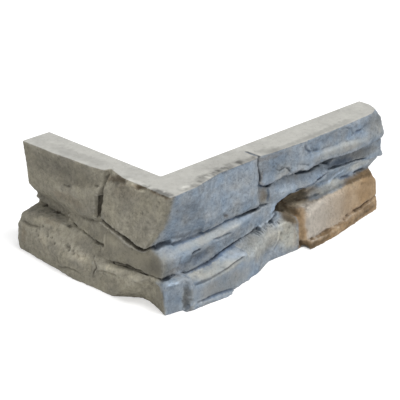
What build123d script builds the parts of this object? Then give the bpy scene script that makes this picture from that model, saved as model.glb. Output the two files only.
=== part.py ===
"""Outside corner piece of stone cladding, cast in one piece.

The casting wraps the outside corner of a wall. It has a long leg and a short leg at a right angle, flat faces
at the wall, the bed, the top and both ends, and a relief of stacked ledge stones on its two outer faces.

Frame: +Z is up and the origin is the inside corner on the bed face. The long leg runs along +X with its wall
face on Y = 0, and the short leg runs along +Y with its wall face on X = 0.

A point of the relief is given as (along, height, out): the distance along its leg from the inside corner, the
height above the bed face, and the distance out from the wall face.
"""

import os

from build123d import *

# Driving dimensions, in millimetres
course_height = 100.0
long_leg = 255.0
short_leg = 143.0
backing = 11.0
short_recess = 15.0

# Courses of the relief, as shares of the height: the upper course hangs from the top face, and the lower one
# stands on the bed face
upper_share = 0.48
lower_share = 0.36
top = course_height
upper_course = upper_share * course_height
upper_bed = top - upper_course
lower_top = lower_share * course_height

# Joints between neighbouring stones, as shares of their leg, along it from the inside corner
short_joint_share = 0.3
long_joint_share = 0.35
low_joint_share = 0.545
short_joint = short_joint_share * short_leg
long_joint = long_joint_share * long_leg
low_joint = low_joint_share * long_leg

# How far the raw blocks reach out before they are dressed
upper_reach = 46.0
middle_reach = 44.0
lower_reach = 58.0


class Leg:
    """One leg of the corner, with the plane of its wall face."""

    def __init__(self, along, out):
        self.along = Vector(*along)
        self.out = Vector(*out)
        up = Vector(0, 0, 1)
        self.face = Plane(origin=(0, 0, 0), x_dir=up.cross(self.out), z_dir=self.out)
        self.hand = self.face.x_dir.dot(self.along)

    def at(self, along, height, out):
        return self.along * along + Vector(0, 0, height) + self.out * out


long_side = Leg(along=(1, 0, 0), out=(0, -1, 0))
short_side = Leg(along=(0, 1, 0), out=(-1, 0, 0))


def block(leg, outline, reach, start=0.0, mode=Mode.ADD):
    """A raw block: an outline of (along, height) points, carried out from its start to its reach."""
    with BuildSketch(leg.face.offset(start)) as stone_face:
        with BuildLine():
            Polyline(*[(leg.hand * along, height) for along, height in outline], close=True)
        make_face()
    extrude(stone_face.sketch, amount=reach - start, mode=mode)


def corner_block(plan, bottom, height):
    """A raw block that turns the corner: a plan outline of (x, y) points, carried up from its bottom."""
    with BuildSketch(Plane.XY.offset(bottom)) as stone_plan:
        with BuildLine():
            Polyline(*plan, close=True)
        make_face()
    extrude(stone_plan.sketch, amount=height)


def dress(leg, *points, keep=Keep.BOTTOM):
    """Splits off what stands out past the plane through three points of the relief, or keeps only that."""
    a, b, c = (leg.at(*point) for point in points)
    normal = (b - a).cross(c - a)
    if normal.dot(leg.out) < 0:
        normal = -normal
    split(bisect_by=Plane(origin=a, z_dir=normal), keep=keep)


# Flat wall behind the relief
with BuildPart() as back_wall:
    corner_block(
        [
            (-backing, short_leg),
            (0, short_leg),
            (0, 0),
            (long_leg, 0),
            (long_leg, -backing),
            (-backing, -backing),
        ],
        bottom=0,
        height=course_height,
    )

# Floor of the open joint along the short leg
with BuildPart() as short_joint_floor:
    block(
        short_side,
        [
            (short_joint, lower_top - 4),
            (short_leg, lower_top - 4),
            (short_leg, upper_bed),
            (short_joint, upper_bed),
        ],
        reach=short_recess,
    )

# Upper course, short leg: flat stone at the end
with BuildPart() as upper_end_stone:
    block(
        short_side,
        [
            (short_joint, top),
            (short_leg, top),
            (short_leg, upper_bed - 6),
            (short_leg - 18, upper_bed - 9.5),
            (short_leg - 34, upper_bed - 12.5),
            (short_leg - 52, upper_bed - 7),
            (short_joint + 24, upper_bed + 2),
            (short_joint + 3, upper_bed + 5),
            (short_joint + 1, top - 28),
        ],
        reach=upper_reach,
    )
    dress(short_side, (short_leg, top, 30.0), (short_leg, top - 38, 26.0), (short_leg - 55, top, 29.6))
    dress(
        short_side,
        (short_leg - 40, top, 29.6),
        (short_joint + 14, top, 26.6),
        (short_leg - 40, top - 30, 26.6),
    )
    dress(
        short_side,
        (short_joint + 14, top, 26.4),
        (short_joint, top, 24.0),
        (short_joint, top - 30, 25.0),
    )
    dress(
        short_side,
        (short_leg, upper_bed + 5, 24.8),
        (short_leg, upper_bed - 6, 15.5),
        (95, upper_bed - 1, 23.0),
    )

# Upper course, short leg: shoulder that swells out of the end stone towards the joint
with BuildPart() as upper_shoulder:
    block(
        short_side,
        [
            (short_joint + 1, top - 13),
            (short_joint + 12, top - 13),
            (short_joint + 27, top - 17),
            (short_joint + 41, top - 25),
            (short_joint + 54, top - 27),
            (short_joint + 70, top - 29),
            (short_joint + 76, top - 40),
            (short_joint + 66, upper_bed - 7),
            (short_joint + 52, upper_bed - 11),
            (short_joint + 37, upper_bed - 5),
            (short_joint + 24, upper_bed + 1),
            (short_joint + 4, upper_bed + 4),
        ],
        reach=upper_reach,
    )
    dress(
        short_side,
        (short_joint, top - 18, 30.5),
        (short_joint, upper_bed + 4, 31.0),
        (short_joint + 72, top - 39, 25.2),
    )
    dress(
        short_side,
        (short_joint, top - 12, 25.5),
        (short_joint + 72, top - 29, 24.6),
        (short_joint, top - 19, 30.5),
    )
    dress(
        short_side,
        (short_joint + 23, upper_bed + 3, 29.8),
        (short_joint + 74, top - 42, 24.0),
        (short_joint + 52, upper_bed - 8, 19.5),
    )

# Upper course: the block that turns the corner
with BuildPart() as upper_corner_stone:
    corner_block(
        [
            (-upper_reach, short_joint - 1),
            (0, short_joint - 1),
            (0, 0),
            (55, 0),
            (55, -upper_reach),
            (-upper_reach, -upper_reach),
        ],
        bottom=upper_bed - 2,
        height=upper_course + 2,
    )
    dress(
        short_side,
        (short_joint - 1, top, 20.0),
        (short_joint - 2, top, 30.0),
        (short_joint - 6, upper_bed + 5, 35.0),
    )
    dress(short_side, (-37.0, top, 24.5), (-20.0, upper_bed, 39.5), (short_joint, top, 23.4))
    dress(
        short_side,
        (short_joint - 1, top, 17.5),
        (short_joint - 22, top, 23.5),
        (short_joint - 4, top - 11, 26.5),
    )
    dress(
        short_side,
        (short_joint, upper_bed + 6.5, 15.0),
        (short_joint, upper_bed + 7, 36.0),
        (0, upper_bed - 2, 38.0),
    )
    dress(long_side, (-24.0, top, 37.4), (-40.0, upper_bed, 20.0), (45.0, upper_bed, 27.0))
    dress(long_side, (3.0, top, 36.8), (43.0, top, 28.2), (30.0, upper_bed, 28.5))
    dress(long_side, (-24.0, top, 37.4), (4.0, top, 36.4), (-10.0, top - 30, 34.5))

# Upper course, long leg: the corner block's flat run up to the joint
with BuildPart() as upper_run_stone:
    block(
        long_side,
        [
            (20, top),
            (long_joint - 1.5, top),
            (long_joint - 0.5, top - 16),
            (long_joint - 1, top - 30),
            (long_joint + 1, upper_bed + 6),
            (long_joint + 2, upper_bed + 3),
            (long_joint - 5, upper_bed + 1),
            (60, upper_bed),
            (20, upper_bed - 1),
        ],
        reach=upper_reach,
    )
    dress(long_side, (20, top, 28.4), (long_joint, top, 29.0), (60, top - 34, 32.5))
    dress(long_side, (60, top - 34, 32.5), (long_joint, top - 34, 31.8), (60, upper_bed, 28.5))
    dress(
        long_side,
        (long_joint - 1, top, 27.2),
        (long_joint + 1, upper_bed, 27.5),
        (long_joint - 14, top - 26, 32.0),
    )

# Upper course, long leg: flat stone past the joint
with BuildPart() as upper_far_stone:
    block(
        long_side,
        [
            (long_joint + 0.5, top),
            (long_joint + 56, top),
            (long_joint + 58, top - 7),
            (long_joint + 64, top - 12),
            (long_joint + 74, top - 16),
            (long_joint + 74, top - 24),
            (long_joint + 61, top - 29),
            (long_joint + 49, top - 26),
            (long_joint + 20, top - 28),
            (long_joint + 4, top - 31),
            (long_joint + 1, top - 16),
        ],
        reach=upper_reach,
    )
    dress(
        long_side,
        (long_joint, top, 28.6),
        (long_joint + 60, top, 32.6),
        (long_joint + 40, top - 28, 30.5),
    )
    dress(
        long_side,
        (long_joint + 1, top, 27.2),
        (long_joint + 4, top - 30, 26.5),
        (long_joint + 14, top - 12, 29.0),
    )

# Upper course, long leg: flaked back run up to the end
with BuildPart() as upper_flaked_stone:
    block(
        long_side,
        [
            (long_joint + 50, top),
            (long_leg, top),
            (long_leg, top - 27),
            (long_leg - 25, top - 29),
            (long_leg - 59, top - 29.5),
            (long_joint + 65, top - 30),
            (long_joint + 50, top - 27),
        ],
        reach=upper_reach,
    )
    dress(
        long_side,
        (long_joint + 56, top, 32.0),
        (long_leg - 60, top, 31.5),
        (long_leg - 65, top - 16, 29.3),
    )
    dress(long_side, (long_leg - 60, top, 31.3), (long_leg, top, 28.0), (long_leg, top - 14, 30.0))
    dress(long_side, (long_leg - 14, top, 27.5), (long_leg, top, 20.5), (long_leg, top - 8, 29.0))

# Upper course, long leg: shelf along the foot of the flaked run
with BuildPart() as upper_far_shelf:
    block(
        long_side,
        [
            (long_joint + 64, top - 13),
            (long_leg - 47, top - 11),
            (long_leg - 30, top - 8),
            (long_leg, top - 6),
            (long_leg, top - 26),
            (long_leg - 32, top - 28),
            (long_leg - 59, top - 28.5),
            (long_joint + 71, top - 24),
            (long_joint + 58, top - 21),
        ],
        reach=upper_reach,
    )
    dress(
        long_side,
        (long_joint + 71, top - 16, 28.8),
        (long_leg - 58, top - 27, 34.6),
        (long_leg - 10, top - 11, 29.8),
    )
    dress(
        long_side,
        (long_joint + 71, top - 23, 33.4),
        (long_leg, top - 24, 33.4),
        (long_leg - 30, top - 19, 34.0),
    )

# Middle course, short leg: thin wedge under the upper stones
with BuildPart() as middle_wedge_stone:
    block(
        short_side,
        [
            (short_joint - 4, upper_bed + 4.5),
            (short_joint + 22, upper_bed + 1),
            (short_joint + 37, upper_bed - 3.5),
            (short_joint + 52, upper_bed - 10),
            (short_joint + 49, lower_top + 1),
            (short_joint + 24, lower_top + 2),
            (short_joint + 14, lower_top - 0.5),
            (short_joint + 3, lower_top - 3.5),
            (short_joint - 5, lower_top - 2),
        ],
        reach=middle_reach,
    )
    dress(
        short_side,
        (short_joint - 3, upper_bed + 3, 28.0),
        (short_joint + 49, upper_bed - 10, 22.5),
        (short_joint, lower_top, 32.0),
    )

# Middle course: the stone that turns the corner
with BuildPart() as middle_corner_stone:
    corner_block(
        [
            (-middle_reach, short_joint - 5),
            (0, short_joint - 5),
            (0, 0),
            (-2, -middle_reach),
            (-middle_reach, -middle_reach),
        ],
        bottom=lower_top - 12,
        height=upper_bed - lower_top + 15,
    )
    dress(
        short_side,
        (-18.0, upper_bed - 5, 32.5),
        (-36.0, lower_top - 7, 35.0),
        (short_joint - 6, lower_top + 4, 33.5),
    )
    dress(
        short_side,
        (short_joint - 6, upper_bed + 3, 28.0),
        (0.0, upper_bed - 4, 32.0),
        (short_joint - 6, lower_top + 8, 33.5),
    )
    dress(long_side, (-35.0, lower_top - 7, 36.0), (20.0, lower_top - 6, 33.0), (20.0, lower_top + 6, 33.5))
    dress(long_side, (-34.0, upper_bed - 3, 31.0), (-9.0, upper_bed - 8, 33.5), (-9.0, upper_bed - 2, 27.0))

# Middle course, long leg: band that rises away from the corner
with BuildPart() as middle_band_stone:
    block(
        long_side,
        [
            (-12, lower_top - 14.5),
            (10, lower_top - 15),
            (25, lower_top - 14),
            (40, lower_top - 11),
            (50, lower_top - 9),
            (61, lower_top - 8),
            (72, lower_top - 4.5),
            (88, lower_top - 1),
            (103, lower_top),
            (112, lower_top + 5),
            (120, upper_bed - 4),
            (120, upper_bed),
            (long_joint + 4, upper_bed + 3),
            (60, upper_bed + 1),
            (-12, upper_bed - 2),
        ],
        reach=middle_reach,
    )
    dress(long_side, (20.0, lower_top - 6, 33.0), (20.0, lower_top + 6, 33.5), (80.0, lower_top + 2, 30.0))
    dress(long_side, (60.0, lower_top, 31.0), (118.0, lower_top + 8, 24.0), (60.0, lower_top + 10, 31.5))
    dress(
        long_side,
        (25.0, upper_bed - 1, 25.0),
        (25.0, upper_bed - 7.5, 33.0),
        (90.0, upper_bed + 1, 25.0),
    )

# Middle course, long leg: keystone in the joint of the upper course
with BuildPart() as keystone:
    block(
        long_side,
        [
            (long_joint, upper_bed + 19),
            (long_joint + 15, upper_bed + 15),
            (long_joint + 14.5, upper_bed + 2),
            (long_joint + 9, upper_bed - 1),
            (long_joint + 3, upper_bed),
        ],
        reach=middle_reach,
    )
    dress(
        long_side,
        (long_joint, upper_bed + 18, 22.5),
        (long_joint + 15, upper_bed + 15, 24.5),
        (long_joint + 9, upper_bed, 25.0),
    )

# Middle course, long leg: slab under the far stone
with BuildPart() as middle_slab_stone:
    block(
        long_side,
        [
            (long_joint + 13, upper_bed - 2),
            (long_joint + 14, upper_bed + 14),
            (long_joint + 20, upper_bed + 22),
            (long_joint + 50, upper_bed + 24),
            (long_joint + 79, upper_bed + 17.5),
            (long_joint + 97, upper_bed + 11),
            (long_joint + 95, upper_bed + 5),
            (long_joint + 84, upper_bed),
            (long_joint + 58, upper_bed - 1),
            (long_joint + 41, upper_bed),
            (long_joint + 29, upper_bed - 4),
        ],
        reach=middle_reach,
    )
    dress(
        long_side,
        (long_joint + 20, upper_bed + 18, 24.0),
        (long_joint + 90, upper_bed + 14, 23.5),
        (long_joint + 50, upper_bed, 30.0),
    )
    dress(
        long_side,
        (long_joint + 12, upper_bed, 26.0),
        (long_joint + 90, upper_bed, 28.0),
        (long_joint + 50, upper_bed + 6, 29.0),
    )

# Middle course, long leg: dark band at the far end
with BuildPart() as middle_far_stone:
    block(
        long_side,
        [
            (long_leg - 73, upper_bed + 8),
            (long_leg - 68, upper_bed + 15),
            (long_leg - 58, upper_bed + 19),
            (long_leg, upper_bed + 20),
            (long_leg, upper_bed + 3),
            (long_leg - 18, upper_bed + 3),
            (long_leg - 49, upper_bed + 6),
        ],
        reach=middle_reach,
    )
    dress(
        long_side,
        (long_leg - 68, upper_bed + 12, 25.5),
        (long_leg, upper_bed + 14, 30.5),
        (long_leg, upper_bed + 4, 30.5),
    )

# Middle course, long leg: thin layer under the dark band
with BuildPart() as middle_far_layer:
    block(
        long_side,
        [
            (long_leg - 100, upper_bed),
            (long_leg - 78, upper_bed + 8),
            (long_leg - 49, upper_bed + 7),
            (long_leg, upper_bed + 4),
            (long_leg, lower_top + 7),
            (long_leg - 50, lower_top + 4),
            (long_leg - 100, lower_top + 9),
        ],
        reach=middle_reach,
    )
    dress(
        long_side,
        (long_leg - 100, upper_bed, 25.5),
        (long_leg, upper_bed - 1, 24.5),
        (long_leg, lower_top + 8, 21.5),
    )
    dress(
        long_side,
        (long_leg, upper_bed - 4, 20.8),
        (long_leg, lower_top + 7, 14.0),
        (long_leg - 9, lower_top + 6, 23.0),
    )

# Middle course, long leg: back of the hollow between the slab and the tan stone
with BuildPart() as middle_far_hollow:
    block(
        long_side,
        [
            (long_joint + 35, upper_bed - 1),
            (long_leg - 60, upper_bed - 4),
            (long_leg, lower_top + 5),
            (long_leg, lower_top - 8),
            (low_joint + 8, lower_top - 8),
        ],
        reach=middle_reach,
    )
    dress(
        long_side,
        (low_joint + 10, upper_bed - 2, 21.0),
        (low_joint + 10, lower_top + 2, 13.0),
        (long_leg, lower_top, 12.0),
    )

# Middle course, long leg: slope from the thin layer down to the tan stone
with BuildPart() as middle_far_slope:
    block(
        long_side,
        [
            (low_joint + 13, lower_top),
            (low_joint + 19, lower_top + 8),
            (low_joint + 28, lower_top + 14),
            (low_joint + 37, upper_bed + 3),
            (low_joint + 46, upper_bed + 5),
            (long_leg - 55, upper_bed),
            (long_leg, lower_top + 6),
            (long_leg, lower_top - 8),
            (low_joint + 13, lower_top - 8),
        ],
        reach=middle_reach,
    )
    dress(
        long_side,
        (low_joint + 11, lower_top + 4, 32.5),
        (long_leg, lower_top + 0.5, 24.5),
        (long_leg - 60, lower_top + 13, 21.5),
    )
    dress(
        long_side,
        (low_joint + 13, lower_top, 30.5),
        (low_joint + 19, lower_top + 8, 23.0),
        (low_joint + 24, lower_top + 2, 33.5),
    )
    dress(long_side, (low_joint - 2, lower_top, 38.0), (low_joint - 2, 12, 39.5), (long_leg, 20, 25.7))
    dress(
        long_side,
        (long_leg, lower_top + 3, 11.7),
        (long_leg, lower_top - 6, 22.0),
        (long_leg - 8, lower_top + 2, 24.0),
    )

# Lower course, short leg: stone at the end
with BuildPart() as lower_end_stone:
    block(
        short_side,
        [
            (short_joint - 6, 0),
            (short_leg, 0),
            (short_leg, lower_top + 1.5),
            (short_joint + 40, lower_top + 3),
            (short_joint, lower_top - 3),
            (short_joint - 6, lower_top - 6),
        ],
        reach=lower_reach,
    )
    dress(
        short_side,
        (short_leg, lower_top + 1.4, 14.0),
        (short_leg, lower_top - 3.2, 40.0),
        (short_joint + 47, lower_top + 0.5, 28.0),
    )
    dress(
        short_side,
        (short_joint + 60, lower_top - 6, 35.0),
        (short_joint + 17, lower_top, 29.5),
        (short_joint + 34, lower_top - 17, 43.0),
    )
    dress(
        short_side,
        (short_joint + 17, lower_top, 29.0),
        (short_joint - 5, lower_top - 6, 33.0),
        (short_joint, lower_top - 11, 43.5),
    )
    dress(short_side, (short_leg, lower_top, 40.6), (short_leg, 0, 40.0), (short_joint + 7, 0, 47.2))
    dress(
        short_side,
        (short_joint + 20, 0, 46.6),
        (short_joint + 20, lower_top - 12, 44.0),
        (short_joint - 6, 0, 44.0),
    )

# Lower course, short leg: stone next to the corner
with BuildPart() as lower_inner_stone:
    block(
        short_side,
        [
            (short_joint - 3, 0),
            (short_joint - 3, lower_top - 6),
            (short_joint - 10, lower_top - 9),
            (short_joint - 18, lower_top - 10),
            (-5, lower_top - 8),
            (-30, lower_top - 7),
            (-30, 0),
        ],
        reach=lower_reach,
    )
    dress(short_side, (short_joint, 0, 44.8), (14.0, 0, 44.2), (20.0, lower_top - 14, 43.0))
    dress(short_side, (14.0, 0, 44.0), (-3.0, 0, 29.5), (-20.0, lower_top - 10, 38.0))
    dress(short_side, (0.0, 0, 43.5), (-42.0, 0, 36.5), (-42.0, lower_top - 8, 36.5))
    dress(
        short_side,
        (short_joint, lower_top - 8, 37.0),
        (-20.0, lower_top - 8, 35.0),
        (10.0, lower_top - 14, 43.6),
    )

# Lower course: the stone that turns the corner
with BuildPart() as lower_corner_stone:
    corner_block(
        [
            (-36.5, -42.0),
            (-32.4, -28.6),
            (-28.6, -16.5),
            (-27.6, -4.0),
            (0, 0),
            (-12.0, -46.0),
            (-20.0, -45.5),
        ],
        bottom=0,
        height=lower_top - 7,
    )

# Lower course, long leg: the long stone past the corner
with BuildPart() as lower_run_stone:
    block(
        long_side,
        [
            (-20, 0),
            (-20, lower_top - 7.5),
            (-13, lower_top - 8),
            (-7, lower_top - 11),
            (20, lower_top - 11),
            (46, lower_top - 8),
            (56, lower_top - 7),
            (60, lower_top - 13),
            (60, 0),
        ],
        reach=lower_reach,
    )
    dress(long_side, (-9.4, 0, 51.0), (36.0, 0, 50.0), (10.0, lower_top - 16, 48.5))
    dress(long_side, (-20.0, 0, 45.5), (-9.0, 0, 51.5), (-9.0, 20, 51.0))
    dress(long_side, (30.0, 0, 50.2), (60.0, 0, 46.0), (50.0, lower_top - 14, 45.5))

# Lower course, long leg: the broad chip at the top of the long stone
with BuildPart() as run_chip:
    block(
        long_side,
        [
            (-12, lower_top - 10),
            (-9, lower_top - 17),
            (15, lower_top - 19),
            (49, lower_top - 14),
            (56, lower_top - 9),
            (52, lower_top),
            (-11, lower_top - 1),
        ],
        start=34.5,
        reach=lower_reach,
    )
    dress(
        long_side,
        (12, lower_top - 16, 48.0),
        (48, lower_top - 11, 46.0),
        (20, lower_top - 11.5, 34.0),
        keep=Keep.TOP,
    )

# Lower course, long leg: the long stone's tapering run
with BuildPart() as lower_run_tail:
    block(
        long_side,
        [
            (50, 0),
            (50, lower_top - 9),
            (60, lower_top - 6),
            (75, lower_top - 3),
            (98, lower_top),
            (101, 14),
            (98, 0),
        ],
        reach=lower_reach,
    )
    dress(long_side, (50.0, 0, 47.0), (76.0, 0, 42.7), (60.0, lower_top - 14, 43.5))
    dress(long_side, (74.0, 0, 43.0), (98.0, 0, 33.5), (90.0, lower_top - 14, 34.5))
    dress(long_side, (56.0, lower_top - 8, 30.0), (98.0, lower_top - 1, 26.5), (72.0, lower_top - 14, 42.0))

# Lower course, long leg: thin lip at the foot of the long stone
with BuildPart() as lower_run_lip:
    block(long_side, [(-20, 0), (-12, 6.6), (9, 5), (34, 3), (36, 2), (31, 0)], reach=lower_reach)
    dress(long_side, (-12.0, 6.6, 51.0), (9.0, 4.8, 51.0), (20.0, 0, 55.6))
    dress(long_side, (-10.0, 0, 51.8), (27.0, 0, 55.8), (-10.0, 6, 52.0))

# Lower course, long leg: stone between the long one and the tan one
with BuildPart() as lower_step_stone:
    block(
        long_side,
        [
            (84, 0),
            (84, lower_top + 1),
            (low_joint - 20, lower_top + 2),
            (low_joint - 3, lower_top - 6),
            (low_joint, lower_top - 15),
            (low_joint, 0),
        ],
        reach=lower_reach,
    )
    dress(long_side, (97.0, 0, 34.0), (low_joint, 0, 36.0), (115.0, lower_top - 16, 34.0))
    dress(
        long_side,
        (104.0, lower_top - 13, 34.5),
        (131.0, lower_top - 10, 34.5),
        (103.0, lower_top - 1, 26.0),
    )

# Lower course, long leg: tan stone at the far end
with BuildPart() as tan_stone:
    block(
        long_side,
        [
            (low_joint - 2, 5),
            (low_joint - 2, lower_top + 1),
            (low_joint + 26, lower_top + 3.5),
            (long_leg - 49, lower_top + 4),
            (long_leg, lower_top - 2.5),
            (long_leg, 5),
        ],
        reach=lower_reach,
    )
    dress(long_side, (low_joint - 2, lower_top, 39.5), (low_joint - 2, 12, 41.0), (long_leg, 20, 27.2))
    dress(
        long_side,
        (low_joint, lower_top + 2, 37.0),
        (long_leg - 50, lower_top + 4, 31.0),
        (low_joint + 30, lower_top, 38.5),
    )
    dress(
        long_side,
        (low_joint - 2.5, lower_top, 30.0),
        (low_joint - 2.5, 12, 34.0),
        (low_joint + 5.5, 20, 41.0),
    )
    dress(
        long_side,
        (long_leg, lower_top - 4, 17.0),
        (long_leg, lower_top - 8.5, 25.0),
        (long_leg - 6, lower_top - 3, 26.0),
    )

# Lower course, long leg: foot of the tan stone
with BuildPart() as tan_foot:
    block(
        long_side,
        [
            (low_joint, 0),
            (low_joint, 9.5),
            (low_joint + 20, 7),
            (long_leg - 66, 7.5),
            (long_leg - 51, 12),
            (long_leg - 28, 10),
            (long_leg, 13.5),
            (long_leg, 0),
        ],
        reach=lower_reach,
    )
    dress(long_side, (low_joint, 0, 45.0), (long_leg - 69, 0, 40.5), (low_joint + 40, 8, 42.0))
    dress(long_side, (long_leg - 69, 0, 40.5), (long_leg, 0, 28.5), (long_leg, 10, 28.0))

# The stones are one solid, with the open joints cut back between them
with BuildPart() as corner_stone:
    for stone in (
        back_wall,
        short_joint_floor,
        upper_end_stone,
        upper_shoulder,
        upper_corner_stone,
        upper_run_stone,
        upper_far_stone,
        upper_flaked_stone,
        upper_far_shelf,
        middle_wedge_stone,
        middle_corner_stone,
        middle_band_stone,
        keystone,
        middle_slab_stone,
        middle_far_stone,
        middle_far_layer,
        middle_far_hollow,
        middle_far_slope,
        lower_end_stone,
        lower_inner_stone,
        lower_corner_stone,
        lower_run_stone,
        lower_run_tail,
        lower_run_lip,
        lower_step_stone,
        tan_stone,
        tan_foot,
    ):
        add(stone.part)
    add(run_chip.part, mode=Mode.SUBTRACT)
    block(
        short_side,
        [
            (short_joint - 1, top - 13),
            (short_joint + 1, top - 13),
            (short_joint + 1, top - 20),
            (short_joint, upper_bed + 5),
            (short_joint - 5, upper_bed + 5),
            (short_joint - 3, top - 20),
        ],
        start=17,
        reach=lower_reach,
        mode=Mode.SUBTRACT,
    )
    block(
        short_side,
        [
            (short_joint - 15, lower_top - 10),
            (short_joint - 24, lower_top - 9),
            (4, lower_top - 7),
            (-11, lower_top - 6),
            (-28, lower_top - 7.5),
            (-11, lower_top - 8.5),
            (4, lower_top - 9.5),
            (short_joint - 24, lower_top - 11),
        ],
        start=24,
        reach=lower_reach,
        mode=Mode.SUBTRACT,
    )
    block(
        long_side,
        [
            (low_joint - 1, upper_bed + 19.5),
            (low_joint + 15, upper_bed + 18),
            (low_joint + 29, upper_bed + 16.5),
            (low_joint + 15, upper_bed + 14.5),
            (low_joint + 4, upper_bed + 16.5),
        ],
        start=18,
        reach=lower_reach,
        mode=Mode.SUBTRACT,
    )

corner_stone.part.label = "corner_stone"
os.makedirs("parts", exist_ok=True)
export_step(corner_stone.part, "parts/corner_stone.step")
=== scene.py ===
import math

import bpy
import numpy as np
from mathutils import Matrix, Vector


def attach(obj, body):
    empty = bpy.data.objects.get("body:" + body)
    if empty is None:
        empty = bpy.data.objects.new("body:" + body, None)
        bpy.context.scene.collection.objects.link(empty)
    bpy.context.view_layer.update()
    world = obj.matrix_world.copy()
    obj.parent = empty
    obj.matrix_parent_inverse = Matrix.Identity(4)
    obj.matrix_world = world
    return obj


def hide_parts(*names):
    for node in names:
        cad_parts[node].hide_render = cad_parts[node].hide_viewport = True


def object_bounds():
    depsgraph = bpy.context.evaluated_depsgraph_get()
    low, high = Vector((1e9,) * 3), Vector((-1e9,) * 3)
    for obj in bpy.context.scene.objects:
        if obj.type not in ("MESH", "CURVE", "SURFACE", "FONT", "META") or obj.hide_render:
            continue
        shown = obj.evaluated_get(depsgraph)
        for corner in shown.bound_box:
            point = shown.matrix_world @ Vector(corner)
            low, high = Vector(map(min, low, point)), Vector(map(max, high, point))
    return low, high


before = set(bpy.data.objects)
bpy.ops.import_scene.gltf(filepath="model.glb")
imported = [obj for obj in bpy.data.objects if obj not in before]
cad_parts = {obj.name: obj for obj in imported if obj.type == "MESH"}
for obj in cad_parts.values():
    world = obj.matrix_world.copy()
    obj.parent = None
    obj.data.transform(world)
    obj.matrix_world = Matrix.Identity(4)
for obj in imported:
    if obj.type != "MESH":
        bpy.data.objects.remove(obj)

cad_low, cad_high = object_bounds()

# Sizes are in millimetres up to the point where the surface goes back into the mesh
MM = 0.001
long_leg, short_leg, course_height = (round(reach / MM, 3) for reach in cad_high)
grain_step = 0.68
most_triangles = 192000

# Large primes that scatter neighbouring cells over the random slopes of a cloud
cell_scatter = (73856093, 19349663, 83492791)

# How much depth counts against distance over the face when points are picked beside a line
depth_share = 0.45


def select_only(piece):
    bpy.ops.object.select_all(action="DESELECT")
    piece.select_set(True)
    bpy.context.view_layer.objects.active = piece


def add_and_apply(piece, kind, **settings):
    """Adds a modifier with its settings and applies it."""
    select_only(piece)
    modifier = piece.modifiers.new(kind.title(), kind)
    for name, value in settings.items():
        setattr(modifier, name, value)
    bpy.ops.object.modifier_apply(modifier=modifier.name)


def raw_casting():
    """The casting with its flat facets: a joined copy of the solid, in fine even faces."""
    same_point = 0.00001
    piece = bpy.data.objects.new("stone_corner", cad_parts["corner_stone"].data.copy())
    bpy.context.collection.objects.link(piece)
    select_only(piece)
    bpy.ops.object.mode_set(mode="EDIT")
    bpy.ops.mesh.select_all(action="SELECT")
    bpy.ops.mesh.remove_doubles(threshold=same_point)
    bpy.ops.object.mode_set(mode="OBJECT")
    add_and_apply(piece, "REMESH", mode="VOXEL", voxel_size=grain_step * MM, adaptivity=0.0)
    return piece


def cloud(at, size, seed):
    """Soft random values, about -1 to 1, that change over a size in millimetres."""
    kinds, full_range = 1024, 1.7
    slopes = np.random.default_rng(seed).normal(size=(kinds, 3))
    slopes /= np.linalg.norm(slopes, axis=1)[:, None]
    place = at / size
    cell = np.floor(place)
    part = place - cell
    cell = cell.astype(np.int64)
    ease = part * part * (3 - 2 * part)
    total = np.zeros(len(at))
    for corner in np.array(list(np.ndindex(2, 2, 2))):
        key = ((cell + corner) * cell_scatter).sum(axis=1) % kinds
        weight = np.where(corner, ease, 1 - ease).prod(axis=1)
        total += weight * (slopes[key] * (part - corner)).sum(axis=1)
    return total * full_range


def soft_step(values, low, high):
    """0 below low, 1 above high, and smooth between."""
    t = np.clip((values - low) / (high - low), 0, 1)
    return t * t * (3 - 2 * t)


class Line:
    """A line over one leg's relief, from points given as (along, height, out)."""

    def __init__(self, points, out_axis):
        self.out_axis = out_axis
        if out_axis == 0:
            self.points = np.array([(-out, along, height) for along, height, out in points], float)
        else:
            self.points = np.array([(along, -out, height) for along, height, out in points], float)


def on_short(points):
    """A line on the short leg."""
    return Line(points, 0)


def on_long(points):
    """A line on the long leg."""
    return Line(points, 1)


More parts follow.
